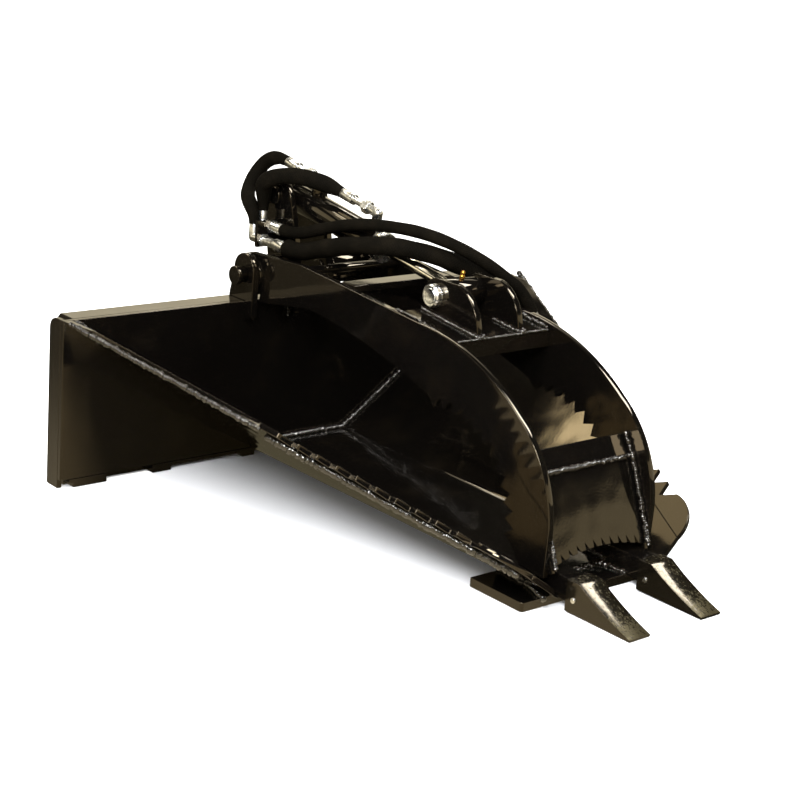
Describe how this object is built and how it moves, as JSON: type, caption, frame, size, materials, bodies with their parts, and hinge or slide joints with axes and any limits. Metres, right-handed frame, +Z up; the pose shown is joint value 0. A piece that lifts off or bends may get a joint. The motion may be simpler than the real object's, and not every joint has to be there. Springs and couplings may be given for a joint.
{
  "type": "stump grapple bucket",
  "caption": "Narrow V-shaped stump bucket with toothed jaw arms on a hydraulic cylinder, for a compact utility loader hitch.",
  "frame": {"origin": "ground level under the middle of the hitch plate's front face", "axes": "+X to the right across the hitch plate seen from behind the machine, -Y forward to the teeth, +Z up"},
  "size_m": [0.889, 0.9687, 0.4752],
  "materials": {
    "frame_paint": "gloss",
    "jaw_paint": "gloss",
    "cylinder_paint": "gloss",
    "tooth_paint": "satin",
    "hose_sleeve": "matte",
    "zinc_steel": "satin",
    "bare_steel": "satin",
    "chrome_rod": "polished",
    "brass_fitting": "satin"
  },
  "bodies": {
    "root": {"back_plate": "frame_paint", "base_pin": "zinc_steel", "bottom_lip": "frame_paint", "bulkhead_union_lower": "zinc_steel", "bulkhead_union_upper": "zinc_steel", "hinge_lug_left": "frame_paint", "hinge_lug_right": "frame_paint", "hinge_pin_left": "frame_paint", "hinge_pin_right": "frame_paint", "hose_bracket": "frame_paint", "nose_plate": "frame_paint", "side_ear_left": "frame_paint", "side_ear_right": "frame_paint", "tooth_left": "tooth_paint", "tooth_pins": "zinc_steel", "tooth_right": "tooth_paint", "tooth_shank_left": "frame_paint", "tooth_shank_right": "frame_paint", "top_hook": "frame_paint", "tower_plate_left": "frame_paint", "tower_plate_right": "frame_paint", "trough": "frame_paint", "wing_teeth_left": "frame_paint", "wing_teeth_right": "frame_paint"},
    "jaw": {"cylinder_lug_left": "jaw_paint", "cylinder_lug_right": "jaw_paint", "hose_coupler_lower": "zinc_steel", "hose_coupler_upper": "zinc_steel", "hose_lower": "hose_sleeve", "hose_upper": "hose_sleeve", "jaw_arm_left": "jaw_paint", "jaw_arm_right": "jaw_paint", "jaw_hub_left": "jaw_paint", "jaw_hub_right": "jaw_paint", "rod_pin": "zinc_steel", "rod_pin_nut": "zinc_steel", "rod_pin_washers": "jaw_paint", "top_cross_plate": "jaw_paint", "middle_crossbar": "jaw_paint", "rear_crossbar": "jaw_paint", "front_plate": "jaw_paint"},
    "barrel": {"barrel": "cylinder_paint", "barrel_base_eye": "cylinder_paint", "base_hose_end": "zinc_steel", "base_port_boss": "cylinder_paint", "base_port_elbow": "zinc_steel", "base_port_hose": "hose_sleeve", "gland": "zinc_steel", "rod_hose_end": "zinc_steel", "rod_port_boss": "cylinder_paint", "rod_port_elbow": "zinc_steel", "rod_port_hose": "hose_sleeve"},
    "rod": {"piston": "bare_steel", "piston_rod": "chrome_rod", "rod_eye": "bare_steel", "grease_fitting": "brass_fitting"}
  },
  "joints": [
    {"name": "jaw_hinge", "type": "hinge", "parent": "root", "child": "jaw", "pos_m": [0, 0.008, 0.302], "axis": [-1, 0, 0], "range_deg": [0, 50], "deforming": ["hose_upper", "hose_lower"]},
    {"name": "barrel_hinge", "type": "hinge", "parent": "root", "child": "barrel", "pos_m": [0, 0.05, 0.415], "axis": [-1, 0, 0], "range_deg": [0, 47.3], "deforming": ["base_port_hose", "rod_port_hose"]},
    {"name": "rod_slide", "type": "slide", "parent": "barrel", "child": "rod", "axis": [0, -0.986, -0.1668], "range_m": [-0.1017, 0]}
  ],
  "couplings": [
    {"joint": "barrel_hinge", "follows": "jaw_hinge", "ratio": 0.942},
    {"joint": "rod_slide", "follows": "jaw_hinge", "m_per_rad": -0.116}
  ]
}
